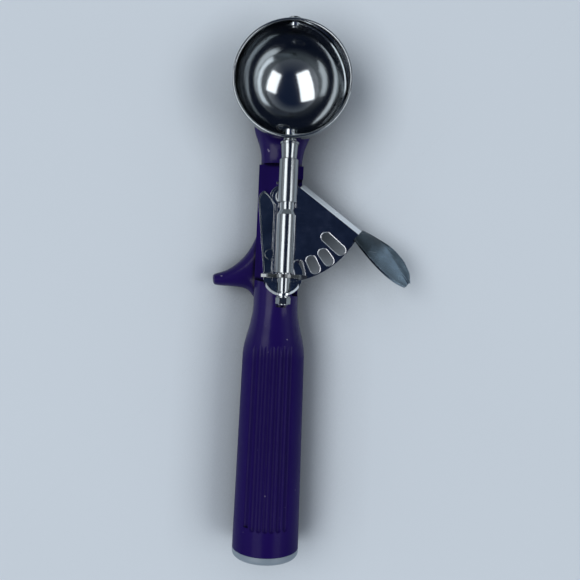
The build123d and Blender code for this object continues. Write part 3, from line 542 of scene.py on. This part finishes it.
class SCOOP_OT_plate(bpy.types.Operator):
    """Finish the frame and the sector plate"""

    bl_idname = "scoop.plate"
    bl_label = "Frame and sector plate"

    def execute(self, context):
        colours = context.scene.scoop_colours
        frame_steel = sheet_steel(
            "frame_steel", colours.steel,
            base_roughness=0.07, grain_turn=0.3, edge=0.2 * MM, highlight=EDGE_HIGHLIGHT)
        finish_nodes(frame_steel, "mechanism_frame", "frame_rivet")
        plate_steel = sheet_steel(
            "plate_steel", colours.plate,
            base_roughness=0.08, grain_turn=0.6, edge=0.2 * MM, highlight=EDGE_HIGHLIGHT)
        finish_nodes(plate_steel, "sector_plate")
        return {"FINISHED"}


class SCOOP_OT_pad(bpy.types.Operator):
    """Press the thumb pad: a leaf of sheet steel, crowned, with its outer corner turned up"""

    bl_idname = "scoop.pad"
    bl_label = "Thumb pad"

    def execute(self, context):
        pad = self.blank()
        self.crown(pad, context.scene.scoop_sizes.pad_crown)
        self.outline(pad)
        self.fold(pad)
        self.thicken(pad)
        self.put_in_place(pad)
        pad.data.materials.append(pad_steel(context.scene.scoop_colours.pad))
        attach(pad, "lever")
        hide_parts("thumb_pad")
        return {"FINISHED"}

    def blank(self):
        """A flat grid, 1 m square, with a column of vertices for each station of the outline."""
        clear_selection()
        bpy.ops.mesh.primitive_grid_add(
            x_subdivisions=len(PAD_OUTLINE) - 1, y_subdivisions=PAD_ROWS, size=1.0,
            location=(0, 0, 0))
        pad = bpy.context.object
        pad.name = "thumb_leaf"
        pad.data.name = pad.name
        return pad

    def crown(self, pad, height):
        """Raises the rows between the two edges, most in the middle."""
        inner_rows = PAD_ROWS // 2 - 1
        for row in range(-inner_rows, inner_rows + 1):
            level = row / PAD_ROWS
            select_vertices(pad, lambda place: abs(place.y - level) < PAD_NEAR / PAD_ROWS)
            bpy.ops.transform.translate(value=(0, 0, height * (1 - (2 * level) ** 2)))

    def outline(self, pad):
        """Moves each column to its station and gives it the leaf's width there.

        A moved column waits 1 m further along, clear of those that are still to move.
        """
        count = len(PAD_OUTLINE) - 1
        for k, (along, low, high) in enumerate(PAD_OUTLINE):
            start = k / count - 0.5
            select_vertices(pad, lambda place: abs(place.x - start) < PAD_NEAR / count)
            width = (high - low) * MM
            bpy.ops.transform.resize(
                value=(1, width, width / PAD_WIDEST), center_override=(start, 0, 0))
            shift = (along * MM + 1.0 - start, (low + high) / 2 * MM, 0)
            bpy.ops.transform.translate(value=shift)
        select_vertices(pad, lambda place: True)
        bpy.ops.transform.translate(value=(-1.0, 0, 0))

    def fold(self, pad):
        """Turns the outer corner up along a crease that runs back from the outer edge."""
        start, across, fall = PAD_CREASE
        bands, band_width, rise = PAD_FOLD

        def beyond(place):
            """How far the place lies beyond the crease, in mm."""
            along = place.x / MM - start
            crease = across - along * fall
            return place.y / MM - crease if along > -1 else -1

        for band in range(bands):
            select_vertices(pad, lambda place: beyond(place) > band_width * band)
            bpy.ops.transform.translate(value=(0, 0, rise))

    def thicken(self, pad):
        """Gives the leaf its sheet thickness, rounded edges and a smooth surface."""
        bpy.ops.object.mode_set(mode="OBJECT")
        solid = pad.modifiers.new("sheet", "SOLIDIFY")
        solid.thickness = PAD_THICKNESS
        solid.offset = -1.0
        soft = pad.modifiers.new("edges", "BEVEL")
        soft.width = PAD_EDGE
        soft.segments = 2
        soft.limit_method = "ANGLE"
        smooth = pad.modifiers.new("smooth", "SUBSURF")
        smooth.levels = 2
        smooth.render_levels = 2
        for modifier in list(pad.modifiers):
            bpy.ops.object.modifier_apply(modifier=modifier.name)
        bpy.ops.object.shade_smooth()

    def put_in_place(self, pad):
        """Sets the leaf at the plate's corner, turned and tilted as a thumb meets it."""
        along = Vector((cos(PAD_TURN), -sin(PAD_TURN), 0))
        out = Vector((
            sin(PAD_TURN) * cos(PAD_TILT), cos(PAD_TURN) * cos(PAD_TILT), sin(PAD_TILT)))
        across = out.cross(along)
        axes = Matrix((along, across, out)).transposed().to_4x4()
        pad.matrix_world = Matrix.Translation(PAD_ROOT) @ axes
        settle(pad)


class SCOOP_OT_stage(bpy.types.Operator):
    """Lay the floor, light it softly and set the camera over the neck"""

    bl_idname = "scoop.stage"
    bl_label = "Floor, light and camera"

    def execute(self, context):
        self.floor(context)
        self.lamps()
        self.surroundings(context.scene)
        self.camera(context)
        context.scene.view_settings.view_transform = "Standard"
        return {"FINISHED"}

    def floor(self, context):
        """A plain floor with a painted shadow that darkens it close under the scoop."""
        clear_selection()
        height = context.scene.scoop_sizes.floor_height
        bpy.ops.mesh.primitive_plane_add(size=FLOOR_SIZE, location=(*FLOOR_MIDDLE, height))
        floor = context.object
        floor.name = "floor"
        settle(floor)
        f = Finish("floor")
        cloud = f.noise(f.place(), 8.0, 3.0)
        # Painted shadow: near the scoop the floor darkens to under a third of its colour.
        in_the_open = f.ramp(f.open_sky(30 * MM, own_piece_only=False), 0.35, 0.95)
        colour = context.scene.scoop_colours.floor
        tone = f.mix(cloud, rgba(colour, 0.98), rgba(colour, 1.02))
        floor.data.materials.append(f.shade({
            "Base Color": f.mix(in_the_open, rgba(colour, 0.3), tone),
            "Roughness": 0.8,
            "Specular IOR Level": 0.2,
        }))

    def lamps(self):
        """Two lamps as large as windows above the scoop, to its left and right."""
        for name, way, size, power in LAMPS:
            place = BOWL_CENTRE + Vector(way) * LAMP_DISTANCE
            bpy.ops.object.light_add(type="AREA", location=place)
            lamp = bpy.context.object
            lamp.name = name
            lamp.data.shape = "RECTANGLE"
            lamp.data.size, lamp.data.size_y = size
            lamp.data.energy = power
            lamp.rotation_euler = Vector(way).to_track_quat("Z", "Y").to_euler()

    def surroundings(self, scene):
        """A plain room: pale walls at the sides, dimmer ones at the ends, a dark ceiling."""
        room = Finish("room", world=True)
        view = room.node("TexCoord", out="Generated")
        across, along, height = (room.part(view, axis) for axis in range(3))
        sides = room.mix(room.ramp(height, 0.1, 0.4), *SIDE_WALLS)
        ends = room.mix(room.ramp(along, -0.2, 0.2), *END_WALLS)
        at_the_sides = room.ramp(abs(across) - abs(along), -0.3, 0.4)
        near_the_floor = room.ramp(height, 0.14, 0.0)
        overhead = room.ramp(height, 0.5, 0.85)
        colour = room.mix(at_the_sides, ends, sides)
        colour = room.mix(near_the_floor, colour, SKIRTING)
        colour = room.mix(overhead, colour, CEILING)
        scene.world = room.surface(room.node("Background", None, {"Color": colour}))

    def camera(self, context):
        """A camera over the neck that looks straight down."""
        height = context.scene.scoop_sizes.camera_height
        bpy.ops.object.camera_add(
            location=(*CAMERA_OVER, height), rotation=(0, 0, CAMERA_TURN))
        camera = context.object
        camera.name = "camera"
        camera.data.sensor_fit = "HORIZONTAL"
        camera.data.angle = CAMERA_ANGLE
        camera.data.clip_start = 0.01
        context.scene.camera = camera


class SCOOP_PT_panel(bpy.types.Panel):
    """The scoop's settings and its pieces, in the order they are made"""

    bl_idname = "SCOOP_PT_panel"
    bl_label = "Lever ice cream scoop"
    bl_space_type = "VIEW_3D"
    bl_region_type = "UI"
    bl_category = "Scoop"

    def draw(self, context):
        for group in (context.scene.scoop_colours, context.scene.scoop_sizes):
            box = self.layout.box()
            for name in group.__annotations__:
                box.prop(group, name)
        for piece in PIECES:
            self.layout.operator(piece.bl_idname)


PIECES = (SCOOP_OT_grip, SCOOP_OT_bowl, SCOOP_OT_shaft, SCOOP_OT_plate, SCOOP_OT_pad,
          SCOOP_OT_stage)
CLASSES = (ScoopColours, ScoopSizes) + PIECES + (SCOOP_PT_panel,)


def register():
    """Registers the classes and hangs the settings on the scene."""
    for kind in CLASSES:
        bpy.utils.register_class(kind)
    bpy.types.Scene.scoop_colours = bpy.props.PointerProperty(type=ScoopColours)
    bpy.types.Scene.scoop_sizes = bpy.props.PointerProperty(type=ScoopSizes)


def unregister():
    """Undoes register, in reverse."""
    del bpy.types.Scene.scoop_sizes
    del bpy.types.Scene.scoop_colours
    for kind in reversed(CLASSES):
        bpy.utils.unregister_class(kind)


def main():
    """Builds every piece and the stage."""
    register()
    bpy.ops.scoop.grip()
    bpy.ops.scoop.bowl()
    bpy.ops.scoop.shaft()
    bpy.ops.scoop.plate()
    bpy.ops.scoop.pad()
    bpy.ops.scoop.stage()


if __name__ == "__main__":
    main()
